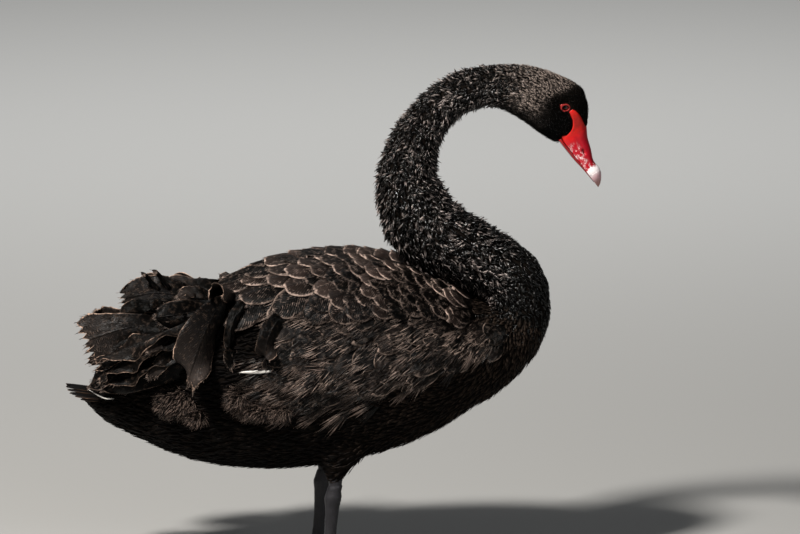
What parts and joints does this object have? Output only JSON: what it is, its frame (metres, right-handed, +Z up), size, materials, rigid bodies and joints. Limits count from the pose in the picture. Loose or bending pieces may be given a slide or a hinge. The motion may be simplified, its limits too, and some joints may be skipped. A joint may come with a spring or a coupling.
{
  "type": "black swan",
  "caption": "Life-size standing black swan with its neck drawn back in an S, bill pointing down, folded wings and ruffled flight feathers over a short tail.",
  "frame": {"origin": "middle of the bounding box, on the floor that the soles stand on", "axes": "+X forward from the tail to the breast, +Y to the swan's left, +Z up"},
  "size_m": [0.6196, 0.2587, 0.5886],
  "materials": {
    "body_plumage": "soft, close body feathers with a low sheen",
    "head_plumage": "velvety short feathers, browner on the crown",
    "wing_coverts": "brownish black scale feathers with paler edges",
    "ruffled_flight_feathers": "smooth dark vanes with wavy edges",
    "white_flight_feathers": "clean white vanes",
    "tail_feathers": "smooth dark vanes and soft under coverts",
    "bill": "glossy deep scarlet horn with a white bar",
    "bill_nail": "pale pinkish horn",
    "bare_face": "bare scarlet skin",
    "eye": "wet and glossy, red iris round a black pupil",
    "leg_skin": "scaly blue-black skin",
    "claw": "dark horn"
  },
  "bodies": {
    "root": {"torso": "body_plumage", "neck_1": "body_plumage", "neck_2": "body_plumage", "neck_3": "body_plumage", "neck_4": "body_plumage", "head": "head_plumage", "bill_upper": "bill", "bill_lower": "bill", "bill_nail": "bill_nail", "tail": "tail_feathers", "eye_left": "eye", "eye_rim_left": "bare_face", "lore_left": "bare_face", "wing_left": "wing_coverts", "flight_left": "ruffled_flight_feathers", "primaries_left": "white_flight_feathers", "thigh_left": "body_plumage", "tarsus_left": "leg_skin", "foot_left": "leg_skin", "claw_inner_left": "claw", "claw_middle_left": "claw", "claw_outer_left": "claw", "claw_hind_left": "claw", "eye_right": "eye", "eye_rim_right": "bare_face", "lore_right": "bare_face", "wing_right": "wing_coverts", "flight_right": "ruffled_flight_feathers", "primaries_right": "white_flight_feathers", "thigh_right": "body_plumage", "tarsus_right": "leg_skin", "foot_right": "leg_skin", "claw_inner_right": "claw", "claw_middle_right": "claw", "claw_outer_right": "claw", "claw_hind_right": "claw"}
  },
  "joints": []
}
